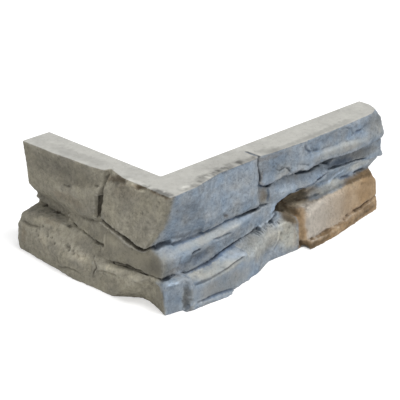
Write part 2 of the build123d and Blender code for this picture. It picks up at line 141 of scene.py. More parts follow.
class Surface:
    """The casting's surface while it is dressed: points in millimetres, and the edges that join them."""

    def __init__(self, piece):
        mesh = piece.data
        count = len(mesh.vertices)
        flat = np.empty(count * 3)
        mesh.vertices.foreach_get("co", flat)
        self.at = flat.reshape(-1, 3) / MM
        mesh.vertices.foreach_get("normal", flat)
        self.normal = flat.reshape(-1, 3).copy()
        ends = np.empty(len(mesh.edges) * 2, int)
        mesh.edges.foreach_get("vertices", ends)
        self.ends = ends.reshape(-1, 2)
        self.share = np.bincount(ends, minlength=count).astype(float)
        self.dirt = np.zeros(count)

    def even(self, values, times):
        """Values averaged with their neighbours, so many times over."""
        one, two = self.ends[:, 0], self.ends[:, 1]
        values = values.copy()
        columns = values.reshape(len(values), -1)
        for _ in range(times):
            for k in range(columns.shape[1]):
                column = columns[:, k]
                total = np.bincount(one, column[two], len(column))
                total = total + np.bincount(two, column[one], len(column))
                columns[:, k] = 0.5 * column + 0.5 * total / self.share
        return columns.reshape(values.shape)

    def lean(self, times):
        """Outward directions, evened over a patch."""
        out = self.even(self.normal, times)
        return out / np.linalg.norm(out, axis=1)[:, None]

    def near(self, line, reach, deep):
        """The points within reach of a line, how far off each is, and how far along the line it is. Where
        deep is under 1, depth counts for less than distance over the face, so a line marks what lies under
        it."""
        squash = np.ones(3)
        squash[line.out_axis] = deep
        low = line.points.min(axis=0) - reach / squash
        high = line.points.max(axis=0) + reach / squash
        picked = np.flatnonzero(((self.at > low) & (self.at < high)).all(axis=1))
        off = np.full(len(picked), 1e9)
        along = np.zeros(len(picked))
        run = 0.0
        for start, end in zip(line.points[:-1], line.points[1:]):
            span = (end - start) * squash
            length = np.linalg.norm(span)
            away = (self.at[picked] - start) * squash
            t = np.clip((away @ span) / length**2, 0, 1)
            gap = np.linalg.norm(away - t[:, None] * span, axis=1)
            along = np.where(gap < off, run + t * length, along)
            off = np.minimum(off, gap)
            run += length
        keep = off < reach
        return picked[keep], off[keep], along[keep] / run

    def work(self, line, width, depth, dirt=0, sharp=1, ragged=0.3, taper=0.15, deep=depth_share, seed=1):
        """Presses a groove into the surface along a line, or raises a rib where the depth is negative."""
        widest_wander, wander_size, rag_size, outward = 3.0, 3.5, 7.0, 0.6
        wander = 0.5 * ragged * min(width, widest_wander)
        picked, off, along = self.near(line, width + wander, deep)
        if not len(picked):
            return
        spot = self.at[picked]
        off = np.clip(off + wander * cloud(spot, wander_size, seed), 0, None)
        t = np.clip(1 - off / width, 0, 1)
        shape = t**sharp if sharp != 1 else soft_step(t, 0, 1)
        ends = np.clip(np.minimum(along, 1 - along) / taper, 0, 1) ** 0.7 if taper else 1.0
        amount = shape * ends * np.clip(1 + ragged * cloud(spot, rag_size, seed + 7), 0.2, 1.6)
        push = self.out[picked].copy()
        push[:, line.out_axis] -= outward
        push /= np.linalg.norm(push, axis=1)[:, None]
        self.at[picked] -= push * (depth * amount)[:, None]
        # The groove's darkening: dirt, and painted shade of an open joint
        self.dirt[picked] = np.maximum(self.dirt[picked], dirt * np.clip(1.3 * amount, 0, 1))

    def cut_short(self, points, width, depth, **how):
        """Works along a line on the short leg."""
        self.work(on_short(points), width, depth, **how)

    def cut_long(self, points, width, depth, **how):
        """Works along a line on the long leg."""
        self.work(on_long(points), width, depth, **how)

    def beside(self, lines):
        """1 along lines of given widths, 0 away from them."""
        weight = np.zeros(len(self.at))
        for line, width in lines:
            picked, off, _ = self.near(line, width, depth_share)
            weight[picked] = np.maximum(weight[picked], soft_step(-off / width, -1.0, -0.3))
        return weight

    def stain(self, line, width, strength, values, seed):
        """Lays a soft stain along a line into the values, one for each point."""
        reach, deep, taper, fray_size = 1.4 * width, 0.35, 0.2, 2.0
        picked, off, along = self.near(line, reach, deep)
        if not len(picked):
            return
        spot = self.at[picked]
        off = off + 0.35 * width * cloud(spot, 0.8 * width + 1.5, seed)
        off = off + 0.25 * width * cloud(spot, fray_size, seed + 3)
        ends = np.clip(np.minimum(along, 1 - along) / taper, 0, 1) ** 0.5
        values[picked] += strength * soft_step(-off / width, -1.0, -0.25) * (0.35 + 0.65 * ends)


# Lines that are marked more than once: the rib on the slope over the tan stone, the broken edge of the top
# face at the corner, and the streak down the lower course of the short leg
slope_rib = [(204, 53.4, 25.6), (196, 50.2, 25), (187, 46.8, 24.6), (180, 44.5, 25.4)]
corner_break = [(-14, 99.6, 24), (-24, 100, 23), (-37, 99, 22.8)]
pale_streak = [(111.5, 23.6, 40.2), (103, 18.8, 43.4), (95.6, 9.7, 43.8)]

# Arrises that are worn down, and faces that stay calm: each a line and how far it reaches to its sides
worn_arrises = (
    (on_short([(-36, 100, 24), (-34, 89, 24), (-30, 78, 25), (-27, 69, 27), (-25, 64, 30)]), 9),
    (on_short([(43, 100, 20), (43.5, 90, 23), (45, 79, 27)]), 7),
    (on_short([(143, 33, 34), (110, 28, 37), (80, 26, 38)]), 8),
    (on_long([(-36, 45, 30), (-37, 30, 33)]), 6),
    (on_long([(28, 100, 31), (45, 100, 29), (75, 100, 29)]), 4),
    (on_long([(84, 100, 26), (83, 100, 31)]), 4),
    (on_long([(139, 38, 36), (140, 22, 38), (139, 4, 41)]), 9),
    (on_long([(140, 38, 36), (175, 38.5, 34.5), (210, 38.5, 31), (254, 31, 26)]), 8),
    (on_long([(180, 38, 34), (184, 10, 37)]), 15),
    (on_long([(205, 36, 32), (210, 14, 33)]), 15),
    (on_long([(254, 34, 24), (254, 14, 27)]), 8),
    (on_long([(130.5, 28, 33), (131, 10, 35)]), 6),
    (on_long([(106, 30, 29.5), (129, 27, 33)]), 6),
)
calm_faces = (
    (on_long([(-32, 47.5, 26), (0, 47.5, 29), (45, 46.5, 31), (78, 48, 29)]), 6),
    (on_long([(-4, 12, 48), (30, 12, 48), (60, 14, 44)]), 13),
    (on_long([(-2, 22, 46), (30, 24, 44), (50, 26, 42)]), 5),
    (on_long([(144, 24, 37), (185, 24, 34), (215, 24, 31), (250, 24, 27)]), 16),
    (on_long([(140, 44, 34), (180, 43, 33), (215, 43, 28)]), 6),
    (on_long([(140, 82, 33), (190, 80, 33), (226, 77, 34)]), 6),
    (on_short([(30, 44, 33), (0, 40, 35), (-30, 38, 34)]), 12),
)


def cast_faces(surface):
    """The flat cast faces: the axis that each lies across, its level there, and which points are in it."""
    at = surface.at
    within, squarely, past_corner = 0.3 * grain_step + 0.1, 0.6, -0.5
    anywhere = np.ones(len(at), bool)
    faces = []
    for axis, level, side in (
        (2, course_height, anywhere),
        (2, 0, anywhere),
        (0, long_leg, anywhere),
        (1, short_leg, anywhere),
        (1, 0, at[:, 0] > past_corner),
        (0, 0, at[:, 1] > past_corner),
    ):
        face = side & (np.abs(at[:, axis] - level) < within)
        face &= np.abs(surface.normal[:, axis]) > squarely
        faces.append((axis, level, face))
    return faces


def break_face(surface, dressed):
    """Gives the dressed faces a swell, a fine hackle and small chips along the arrises."""
    at = surface.at
    bulge = ((at - surface.even(at, 14)) * surface.out).sum(axis=1)
    arris = soft_step(bulge, 0.15, 0.7)
    swell = 0.7 * cloud(at, 19, 3) + 0.5 * cloud(at, 9, 4)
    hackle = 0.42 * (0.45 - np.abs(cloud(at, 5.2, 5))) + 0.34 * cloud(at, 2.7, 6) + 0.26 * cloud(at, 1.5, 8)
    chips = arris * np.clip(cloud(at, 6, 9) - 0.05, 0, 1) * 1.6
    rise = (swell + hackle) * (1 - 0.65 * surface.calm) - chips
    surface.at = at + surface.out * (rise * dressed)[:, None]


def dress(surface):
    """Dresses the casting's outer faces as broken stone, and keeps its cast faces flat. Gives how far each
    point is dressed, 0 to 1."""
    faces = cast_faces(surface)
    cast = np.any([face for _, _, face in faces], axis=0)
    dressed = soft_step(surface.even((~cast).astype(float), 4), 0.02, 0.7)

    # Broken arrises are a little round, and some are worn down
    surface.at = surface.even(surface.at, 4)
    worn = surface.beside(worn_arrises)
    surface.at = surface.at + (surface.even(surface.at, 24) - surface.at) * worn[:, None]
    surface.calm = surface.beside(calm_faces)
    surface.out = surface.lean(12)
    break_face(surface, dressed)

    # The cast faces go back to their planes, but not where a joint is cut into them
    before = surface.at.copy()
    cut_stones(surface)
    cut = surface.even(np.linalg.norm(surface.at - before, axis=1), 2)
    for axis, level, face in faces:
        firm = soft_step(surface.even(face.astype(float), 8), 0.45, 0.95) * soft_step(-cut, -0.4, -0.1)
        surface.at[:, axis] += (level - surface.at[:, axis]) * firm
    surface.at = np.clip(surface.at, np.array(cad_low) / MM, np.array(cad_high) / MM)
    return dressed


def round_far_end(cut):
    """Long leg: rounded corners of the stones at the far end."""
    for points, width, depth, seed in (
        ([(100, 24), (92, 31), (82, 34), (76, 34)], 6, 2.6, 1),
        ([(71, 31), (60, 31)], 4, 1.6, 2),
        ([(34, 27), (24, 27), (15, 27)], 4, 1.4, 3),
        ([(12, 28), (0, 28)], 4, 1.4, 5),
    ):
        cut([(long_leg, height, out) for height, out in points], width, depth, taper=0, seed=seed)


def cut_short_upper(cut):
    """Short leg, upper course: the flaked face, the open joint and chips along the top."""
    cut([(121, 62, 26), (109, 64.5, 26), (87.6, 68.6, 27), (57, 75.4, 29.5), (45, 77, 30)],
        9, -1.2, seed=11)
    cut([(120, 74, 26), (98, 78, 27), (75, 84, 28)], 8, 0.9, seed=10)
    cut([(93.7, 72.3, 26.7), (86.6, 73.2, 27.2), (82.2, 74.1, 27.5)], 1.4, 0.9, dirt=0.45, seed=110)
    cut([(52.1, 83.9, 26.8), (48.8, 84.4, 27)], 1.5, 1, dirt=0.6, taper=0, seed=111)
    cut([(42.4, 101, 18), (43.1, 95, 23), (43.3, 89, 22.8), (44.1, 85, 26.5), (45, 78, 27)],
        3, 0.6, dirt=0.06, taper=0, seed=12)
    cut([(45.4, 77, 27), (45.8, 71, 28.4), (46.2, 64, 28.4), (46.8, 57, 27.7)],
        4, 3.2, dirt=0.72, taper=0.06, sharp=0.8, ragged=0.5, seed=13)
    cut([(38, 93, 23), (30, 93, 24.5), (24.6, 96.4, 24), (16, 98.8, 23.9)], 5, 1.9, dirt=0.2, seed=14)
    cut([(26, 92, 25.8), (20.5, 93.6, 25.6), (12.9, 96.6, 24.7), (5, 97.4, 24.5)],
        2.2, -1.1, ragged=0.8, seed=114)
    cut([(4, 95.6, 25.2), (-2.3, 97.8, 24.5), (-9, 99.6, 23.2)], 3.4, 1.7, dirt=0.25, ragged=0.6, seed=15)


def cut_short_end_joint(cut):
    """Short leg: the joint between the end stones of the upper and the lower course."""
    cut([(141, 38.3, 15), (132, 37.3, 16.1), (122, 37.4, 17.4), (114, 37.5, 18.3), (105.6, 37.8, 18.2),
         (92, 40.7, 22.8), (84, 38.5, 24.9)], 1.4, 1.1, dirt=0.35, taper=0.05, deep=0.8, seed=16)
    cut([(133.4, 37.3, 16), (131.4, 37.3, 16.2)], 2, 2, dirt=1, taper=0, seed=116)
    cut([(115.5, 37.6, 18.2), (111, 37.5, 18.4)], 1.7, 1.8, dirt=0.9, taper=0, seed=117)
    cut([(101.5, 39.8, 18), (99, 40.5, 19)], 1.8, 1.4, dirt=0.7, taper=0, seed=118)
    cut([(144, 44, 13.5), (139, 43, 15)], 4.2, -3.4, taper=0, seed=119)


def cut_short_middle(cut):
    """Short leg, middle course: cracks in the wedge and the joints over and under it."""
    cut([(76.8, 47, 23.8), (67.3, 48.1, 25.1), (52, 51.5, 26.9), (46, 54, 29), (38, 57.5, 33)],
        1.3, 1.2, dirt=0.45, sharp=0.8, ragged=0.6, seed=17)
    cut([(90, 38, 24), (83, 37.8, 24.9), (70.6, 37.1, 26.2), (57, 35.9, 29.7), (49, 34.6, 31.3)],
        1.25, 1.3, dirt=0.6, taper=0.1, ragged=0.6, seed=18)
    cut([(50.5, 34.8, 31.2), (42.1, 35.2, 32.3), (34, 37.2, 33.9)],
        2, 2.6, dirt=1, taper=0.12, sharp=0.7, deep=0.7, seed=181)
    cut([(41, 60, 33), (34, 60.5, 36), (26.8, 58.7, 36.7), (20, 57.9, 37.1), (7, 55.7, 38),
         (1, 53.8, 38.6), (-5, 52.9, 39)],
        1.7, 2.2, dirt=0.85, taper=0.03, sharp=0.8, deep=0.3, ragged=0.5, seed=19)
    cut([(7, 55.9, 38), (0, 54.7, 38.6), (-8.8, 53, 39), (-14, 52.2, 39.4), (-19.5, 51.8, 39.6)],
        1.9, 2.6, dirt=1, taper=0.05, sharp=0.7, deep=0.3, seed=191)
    cut([(27, 26.4, 35.3), (21.7, 25.5, 34.7), (14.3, 25.7, 33.5), (6.8, 26.4, 33), (-5.5, 28.6, 34)],
        1.5, 1.2, dirt=0.95, taper=0.04, deep=0.8, seed=20)
    cut([(-4, 28.4, 34), (-9.5, 28, 33.8), (-15.4, 28, 33.8), (-26, 29.8, 34.6), (-36, 30, 34.8)],
        1.3, 1.6, dirt=0.9, taper=0.04, deep=0.8, seed=201)
    cut([(33, 57, 33), (33.4, 47, 32.5), (33.4, 37, 33.5)], 1.5, 0.9, dirt=0.25, seed=120)


def cut_short_lower(cut):
    """Short leg, lower course: the stone that steps out, ledges, hollows and chips."""
    cut([(43.7, 25.9, 37), (37, 23.7, 42.3), (33.6, 19.7, 43.4), (38, 14.3, 43.8), (38.6, 8, 44.1)],
        1.25, 1.4, dirt=0.55, seed=21)
    cut([(34.4, 16.5, 43.6), (26.7, 19.1, 43.3), (19.7, 19.9, 43.1), (12.7, 20.2, 43), (8.5, 19.5, 42.9)],
        1.6, 1, dirt=0.25, seed=22)
    cut([(30, 11, 44), (19, 13, 43.5), (8, 12, 43)], 8, 1.3, seed=23)
    cut([(85, 4, 44.6), (77.2, 5.2, 45.2), (68, 9, 46), (60.7, 8.6, 45.4), (52, 7.8, 44.7)],
        1.4, 1.1, dirt=0.4, seed=24)
    cut([(83.6, 13, 44.8), (83.2, 8, 44.8)], 2, 1, dirt=0.45, taper=0, seed=240)
    cut([(96, 17, 44), (84, 16, 44), (66, 17, 44), (52, 18, 44)], 7, -1, seed=124)
    cut([(139, 27.2, 37.9), (127.8, 26.4, 38.3), (117, 27.8, 37), (118.1, 31, 35.1)],
        1.9, 1.4, dirt=0.35, deep=0.3, seed=25)
    cut([(143, 22, 40), (131, 19, 40), (118, 20, 41)], 5, 1.6, seed=125)
    cut([(143, 31, 34), (134, 30.5, 35.5), (126, 31, 35)], 5, -1.6, taper=0, seed=126)
    cut([(76.2, 23.3, 39.6), (74.8, 23.4, 39.6)], 1.6, 1.3, dirt=0.75, taper=0, seed=127)
    cut([(70, 27.6, 36.3), (68, 28, 36)], 2.6, 1.1, dirt=0.3, taper=0, seed=128)
    cut([(87, 36.2, 28.4), (83.5, 36.6, 28.8)], 2, 1.2, dirt=0.55, taper=0, seed=129)


def cut_long_upper_foot(cut):
    """Long leg: the open joint under the upper course, from the corner on."""
    cut([(-41, 52.6, 14), (-38, 52.4, 18), (-34.4, 52.1, 20.5), (-30, 52.8, 22.5), (-26, 54, 24.3),
         (-20, 53.6, 24.5), (-11, 52.5, 24.8)],
        1.9, 2.6, dirt=1, taper=0.04, sharp=0.7, deep=0.3, seed=30)
    cut([(-12, 51.2, 26.6), (0, 50.6, 27), (15.5, 50.3, 27.5), (31, 51.6, 28.5), (49, 53, 28.4),
         (62, 52.8, 27.8)], 1.5, 2.6, dirt=0.8, taper=0, sharp=0.8, seed=301)
    cut([(58, 52.9, 27.8), (70, 52.6, 27.5), (82, 52, 27), (94, 51.2, 26.5)],
        2, 3.4, dirt=1, taper=0.06, sharp=0.8, seed=302)
    cut([(42, 62, 31.8), (47, 59, 30.8)], 1.7, 1.1, dirt=0.4, taper=0, seed=303)
    cut([(-18, 60, 24), (0, 58, 27), (20, 57.5, 29)], 5, 0.9, seed=304)


def cut_long_joint(cut):
    """Long leg: the joint in the upper course, the small stone in it and the ledge past it."""
    cut([(89.8, 101, 24), (89.2, 99, 27.4), (87.4, 96, 27.9), (88.2, 88.9, 27.4), (91, 82.5, 26.6),
         (92, 76.8, 26.6), (88.4, 73.2, 27.5), (87.9, 66.3, 27.8), (89.9, 59, 27.3), (94.4, 52.5, 25.9)],
        1.4, 2.4, dirt=0.9, taper=0, sharp=0.8, seed=31)
    cut([(89.8, 100, 9), (89.8, 100, 14), (89.8, 100, 20), (89.8, 100, 26)],
        1.1, 1, dirt=0.7, taper=0.25, deep=1, seed=32)
    cut([(88, 72.6, 27.5), (95, 69.9, 26.5), (104, 67.2, 24), (108.6, 68.2, 25.2)],
        1.4, 2.2, dirt=0.85, taper=0.03, sharp=0.8, seed=33)
    cut([(103.6, 66, 25), (103.1, 60, 26), (101.8, 53, 25.4)], 1.25, 1.1, dirt=0.2, seed=34)
    cut([(93, 51.9, 26.3), (96, 51.9, 26.3), (102.5, 50.9, 26.4)], 1.8, 2, dirt=0.9, taper=0.05, seed=340)
    cut([(108, 68, 25), (112, 71.6, 28), (120.5, 72.9, 29), (129, 71.2, 27), (138, 69, 24)],
        1.3, 2, dirt=0.75, taper=0.05, sharp=0.8, seed=35)
    cut([(139, 69, 24), (146, 67.6, 23.6), (153, 66.8, 23.5), (161, 65.8, 24.2), (167, 66, 24)],
        1.9, 3.8, dirt=1, taper=0.1, sharp=0.7, seed=36)
    cut([(162, 66, 24), (168, 66.4, 24), (174, 66, 23.8)], 1.4, 2.4, dirt=0.8, taper=0.05, seed=360)


def cut_flaked_run(cut):
    """Long leg, upper course: broken ledges of the flaked run, and the joint under it."""
    cut([(106.9, 83.4, 29.3), (113.2, 80.5, 29.7), (119.3, 81.6, 30.1), (123.6, 79.3, 30.3),
         (125.9, 75.4, 30.2), (130, 71.8, 28)], 1.25, 1, dirt=0.45, ragged=0.9, seed=37)
    cut([(132.5, 80.9, 31), (141, 78.5, 31.5), (150, 75.4, 32)], 1.2, 0.7, dirt=0.3, ragged=0.9, seed=370)
    cut([(128, 76, 30.5), (138, 75, 31), (150, 72, 31.5)], 3, -0.8, ragged=0.8, seed=137)
    cut([(142.7, 97.6, 32.1), (143.8, 92.7, 32), (149.7, 88.3, 32.3), (166, 84.6, 29.8)],
        1.7, 1.2, dirt=0.3, seed=38)
    cut([(166, 84.6, 29.8), (189.4, 82.9, 30.3), (207.7, 86.4, 29.6)], 1.8, 0.7, dirt=0.1, seed=380)
    cut([(199, 97, 31), (207.8, 93.2, 30.4), (210.5, 89.1, 29.8), (213, 85.8, 30)],
        1.3, 0.8, dirt=0.25, seed=381)
    cut([(158, 94, 31), (178, 92, 31), (198, 94, 31)], 9, 1.2, seed=39)
    cut([(183, 60.6, 25.5), (188, 60, 25.7), (193, 59.9, 26)], 1.6, 1.6, dirt=0.8, taper=0, seed=41)
    cut([(188, 60, 25.9), (201, 59.3, 27), (213.5, 59.1, 27.4), (222.3, 58.5, 28), (234, 56.9, 28.6)],
        1.25, 1.8, dirt=0.85, taper=0.08, sharp=0.8, seed=40)
    cut([(214, 89, 29), (224, 88, 29), (230, 92, 29)], 1.8, 0.9, dirt=0.25, ragged=0.8, seed=141)


def cut_long_middle(cut):
    """Long leg, middle course: the band that rises from the corner, and the joint under it."""
    cut([(28, 44.2, 33.1), (36.9, 42.9, 32.6), (43.4, 43, 32.2), (52, 42, 31.5)],
        1.5, 1.2, dirt=0.4, seed=42)
    cut([(2, 40.4, 34.4), (8.3, 41, 34.1), (13.5, 40.8, 33.8)], 1.8, 1.2, dirt=0.75, ragged=0.9, seed=43)
    cut([(-10, 43.3, 34.4), (-12.2, 38.5, 35.1), (-16.5, 31.8, 35.1)], 2, 0.8, dirt=0.2, seed=44)
    cut([(-2, 34, 34), (16, 34.5, 33.5), (34, 36.5, 32)], 6, 1.3, seed=144)
    cut([(-37, 29.4, 36), (-28, 29, 36.4), (-20, 28.6, 36.6), (-12, 26.6, 36), (-5, 24.8, 34.8)],
        1.8, 2.4, dirt=1, taper=0.04, sharp=0.8, deep=0.7, ragged=0.7, seed=45)
    cut([(-7, 25, 35), (0.4, 24.9, 34.6), (9.7, 25.1, 34.2), (19.7, 25.1, 33.2), (29, 26.2, 32.9),
         (37.7, 28.3, 31.9), (45.8, 29.5, 31.5), (54, 30.4, 31.1), (62.7, 30.8, 30.4)],
        1.4, 1.6, dirt=0.75, taper=0, sharp=0.8, deep=0.7, seed=450)
    cut([(117.8, 47.5, 25), (116.4, 43, 25.3), (114, 37.1, 25.4), (105.5, 33.5, 27.2)],
        1.5, 1.8, dirt=0.7, taper=0.1, seed=451)


def cut_long_lower(cut):
    """Long leg, lower course: the chip, the lip and the edges of the long stone."""
    cut([(-13, 23.2, 47.5), (-8, 20.5, 46.5), (-3.3, 19, 45.5), (4.2, 19.2, 47), (10.4, 19.7, 48),
         (17.3, 20.2, 48), (29, 21.3, 47.6), (42, 22.8, 46.4), (55, 23.4, 44.6)],
        1.25, 1.4, dirt=0.65, taper=0.06, sharp=0.9, seed=46)
    cut([(-2, 22.5, 44), (10, 22.8, 43), (24, 24.3, 43), (38, 26, 42), (50, 27, 41)],
        3.2, -1.4, taper=0.1, seed=146)
    cut([(-16.3, 22, 47), (-16.9, 15, 46.8), (-17.5, 6.3, 46.7), (-17.5, -2, 46.7)],
        3.8, 1.3, taper=0, seed=47)
    cut([(-10, 5.7, 51.3), (0.5, 5.1, 51.6), (8.6, 5, 51), (19.2, 4.2, 51), (29.4, 3.4, 51),
         (37, 1.9, 50.5)], 1.1, 1.1, dirt=0.55, taper=0.05, seed=48)
    cut([(-36, 27.6, 42), (-31.7, 27.3, 43), (-26, 27, 43.9)], 3, -0.9, ragged=0.9, seed=480)
    cut([(109.6, 25.3, 33.3), (108.4, 16.1, 33.8), (101, 9.2, 33.7), (99, 3, 33.9)],
        2.4, -0.6, taper=0.1, ragged=0.7, seed=49)
    cut([(113, 24, 33.5), (111.4, 16, 33.9), (103, 8, 33.8)], 2.6, 0.9, dirt=0.12, taper=0.1, seed=490)
    cut([(106, 30.1, 29.9), (121, 29.3, 31.6), (129, 26.8, 33.9), (131.5, 23.2, 34.6)], 2, -0.8, seed=149)
    cut([(57, 30.6, 30.6), (70, 31.6, 29.6), (86.5, 32.4, 28.6), (105.5, 33.5, 27.2),
         (114.4, 34.3, 26.8)], 1.4, 1.4, dirt=0.6, taper=0.05, ragged=0.9, seed=491)
    cut([(82.5, 32, 28.7), (89, 33, 28.5)], 2.6, 1.4, dirt=0.85, taper=0, ragged=0.9, seed=492)
    cut([(104, 33.4, 27.3), (107.5, 33.6, 27.1)], 2, 1.6, dirt=0.95, taper=0, ragged=0.9, seed=493)


def tear_edge(cut, rng):
    """Long leg: small teeth along the torn top edge of the long stone."""
    teeth, first, apart, edge_out = 24, 53, 2.6, 30
    for k in range(teeth):
        x = first + apart * k + rng.uniform(-0.8, 0.8)
        length = rng.uniform(1.2, 4.0)
        height = 31.6 + 0.04 * k
        lean = 0.3 * length
        tooth = [(x - lean, height, edge_out), (x + lean, height - length, edge_out + 0.6 * length)]
        cut(tooth, 1, 1.1, dirt=rng.uniform(0.3, 0.75), taper=0.25, deep=0.2, ragged=0.8, seed=60 + k)


def cut_hollow(cut):
    """Long leg: the hollow over the tan stone and the broken slope behind it."""
    cut([(128, 28, 16), (131, 36, 14), (134, 44, 14), (140, 48.5, 20), (148, 50, 22)],
        4.4, 2.4, dirt=0.6, seed=80)
    cut([(137, 53, 27.3), (142.7, 53.2, 27.4), (150, 51, 26), (160, 51.6, 27), (166, 54.4, 27.8),
         (173, 56, 27.3), (179, 58.6, 26.6), (183, 60.5, 25.8)], 1.4, 1.8, dirt=0.75, taper=0.04, seed=81)
    cut([(148, 38, 17), (155, 40, 24.5), (163, 41.6, 27.5), (169, 41.5, 28.5)],
        1.6, 1.4, dirt=0.8, taper=0.1, seed=83)
    cut([(203, 45, 23.8), (210, 44.5, 23.4), (215.5, 43.6, 23.6)], 1.5, 1.2, dirt=0.6, seed=84)
    cut([(221, 43.8, 22.8), (231, 43.8, 22), (240, 43.1, 21.5)], 1.4, 1.3, dirt=0.55, seed=85)
    cut(slope_rib, 3.2, -1.2, seed=86)
    cut([(194, 42, 27), (190, 44.5, 25.6), (199, 47.5, 24.5)], 3, 0.9, seed=87)
    cut([(136.4, 6, 35.7), (137.5, 3, 37.5), (139.5, 0, 40)], 2.6, 3.2, dirt=1, taper=0, seed=88)


def cut_tan_stone(cut):
    """Long leg: the tan stone's arrises, and the cracks over its foot."""
    cut([(141, 9.2, 41), (150, 7.6, 40.3), (158.4, 7.2, 39.5), (173.8, 7.2, 38), (186.3, 7.5, 37.2),
         (196, 8.2, 35.5)], 1.5, 1.4, dirt=0.35, ragged=0.9, taper=0.04, sharp=0.9, seed=184)
    cut([(194, 8.4, 35.6), (203, 11.7, 34), (213, 11.6, 32.8), (226.8, 10.4, 31.2), (232.4, 12.3, 30.2),
         (243.2, 12, 29.4), (250, 12.9, 28.4), (256, 14.5, 27.5)],
        1.5, 1.8, dirt=0.6, ragged=0.9, taper=0.02, sharp=0.9, seed=188)
    cut([(141, 34, 38), (141.5, 24, 39), (142, 12, 40)], 4, 1.2, taper=0, seed=89)
    cut([(140, 36, 37), (160, 38.5, 36), (185, 38.5, 33), (210, 37.5, 30), (254, 33, 26)],
        4, 1, taper=0, seed=185)
    cut([(138, 1, 42), (140, 8, 42)], 3.5, 1.6, taper=0, seed=186)
    cut([(160, 3.5, 42), (185, 3.5, 40), (205, 6, 36), (230, 6, 32), (252, 7, 29)],
        3, -0.7, ragged=0.8, seed=187)


def pit_short_leg(cut, rng):
    """Short leg: pits in the face of the lower course, which leans back as it rises."""
    pits, lean_back = 56, 0.55
    for k in range(pits):
        along, height = rng.uniform(48, 122), rng.uniform(20, 34)
        out = 41 - lean_back * (height - 22)
        spot = [(along, height, out), (along + 0.8, height + 0.4, out)]
        width, depth, dirt = rng.uniform(1.0, 2.4), rng.uniform(0.7, 1.6), rng.uniform(0.2, 0.6)
        cut(spot, width, depth, dirt=dirt, taper=0, deep=0.7, seed=600 + k)


def cut_stones(surface):
    """Joints, cracks, ledges and chips, as lines over the relief, each with its width and depth."""
    rng = np.random.default_rng(3)
    short, long = surface.cut_short, surface.cut_long
    round_far_end(long)
    cut_short_upper(short)
    cut_short_end_joint(short)
    cut_short_middle(short)
    cut_short_lower(short)
    cut_long_upper_foot(long)
    cut_long_joint(long)
    cut_flaked_run(long)
    cut_long_middle(long)
    cut_long_lower(long)
    tear_edge(long, rng)
    cut_hollow(long)
    cut_tan_stone(long)
    pit_short_leg(short, rng)


# Patches of the wash: place along the leg, height, half length, half height and strength of each. The
# painted light and tone patches make it darker or paler: partly the wash's own depth, partly painted light
# on faces that tilt up and painted shade on faces under ledges. Buffs bring out the buff wash
short_painted_light_and_tone = (
    (112, 86, 32, 12, -0.35),
    (78, 88, 24, 10, -0.35),
    (50, 40, 8, 5, -0.3),
    (88, 68, 28, 5, 0.3),
    (62, 74, 18, 5, 0.25),
    (120, 48, 26, 7, -0.12),
    (24, 95, 12, 4, -0.5),
    (2, 97, 12, 3.5, 0.4),
    (11, 84, 14, 9, -0.15),
    (38, 42, 8, 6, -0.05),
    (88, 26, 26, 5, 0.5),
    (92, 35, 32, 6, 0.45),
    (118, 24, 14, 8, 0.2),
    (60, 22, 16, 5, 0.4),
    (20, 21, 26, 4, 0.55),
    (28, 25.5, 14, 3, 0.4),
    (-22, 36, 12, 9, -0.25),
    (-12, 12, 14, 12, 0.5),
    (4, 66, 18, 10, 0.2),
    (22, 46, 14, 8, 0.25),
    (-30, 38, 12, 10, -0.45),
)
long_painted_light_and_tone = (
    (-30, 38, 14, 9, -0.4),
    (4, 78, 16, 14, -0.3),
    (-18, 84, 12, 12, -0.15),
    (30, 66, 26, 12, -0.1),
    (14, 46.5, 46, 2.6, 0.4),
    (62, 48, 22, 3, 0.4),
    (8, 34, 26, 6.5, -0.65),
    (56, 38, 26, 5, -0.3),
    (88, 38, 16, 4, -0.1),
    (-29, 14, 9, 14, -0.35),
    (22, 10, 34, 9, -0.38),
    (14, 21.8, 26, 2.8, 0.3),
    (44, 25, 18, 3.4, 0.6),
    (94, 14, 18, 6, -0.25),
    (64, 22, 12, 6, 0.3),
    (122, 16, 12, 14, 0.2),
    (108, 88, 24, 10, -0.4),
    (176, 90, 28, 7, -0.2),
    (218, 64, 34, 6, -0.75),
    (194, 65, 13, 6, -0.2),
    (240, 90, 16, 10, -0.45),
    (190, 77, 40, 4, -0.25),
    (123, 28, 7, 4, -0.5),
    (230, 6.5, 22, 6, -0.5),
    (86, 23, 12, 6, 0.35),
    (99, 59, 6, 8, -0.5),
    (228, 50, 26, 6, 1),
    (118, 45, 14, 7, 0.55),
    (172, 43, 22, 4.5, -0.45),
    (200, 45.5, 18, 4, 0.5),
    (125, 57, 14, 6, 0.45),
    (78, 34.5, 14, 3, 0.3),
    (70, 27.5, 14, 4.5, -0.45),
    (228, 41, 24, 4, -0.3),
    (186, 24, 36, 12, -0.14),
    (236, 26, 22, 10, -0.1),
    (152, 4, 18, 6, -0.3),
    (208, 5, 46, 5, -0.12),
    (137, 20, 4, 20, -0.25),
)
long_buffs = (
    (22, 46.5, 42, 3, 0.5),
    (88, 22, 34, 11, 0.7),
    (122, 17, 13, 18, 0.9),
    (99, 59, 6, 8, 0.6),
    (24, 22, 36, 4, 0.65),
    (26, 9, 30, 9, 0.3),
    (-16, 11, 5, 13, 0.4),
    (-30, 38, 12, 10, 0.3),
    (184, 43, 34, 4, 0.7),
    (195, 79, 40, 5, 0.5),
    (244, 88, 14, 12, 0.4),
    (230, 64, 20, 6, 0.4),
    (226, 51, 22, 5, 0.5),
    (116, 78, 10, 10, 0.25),
)


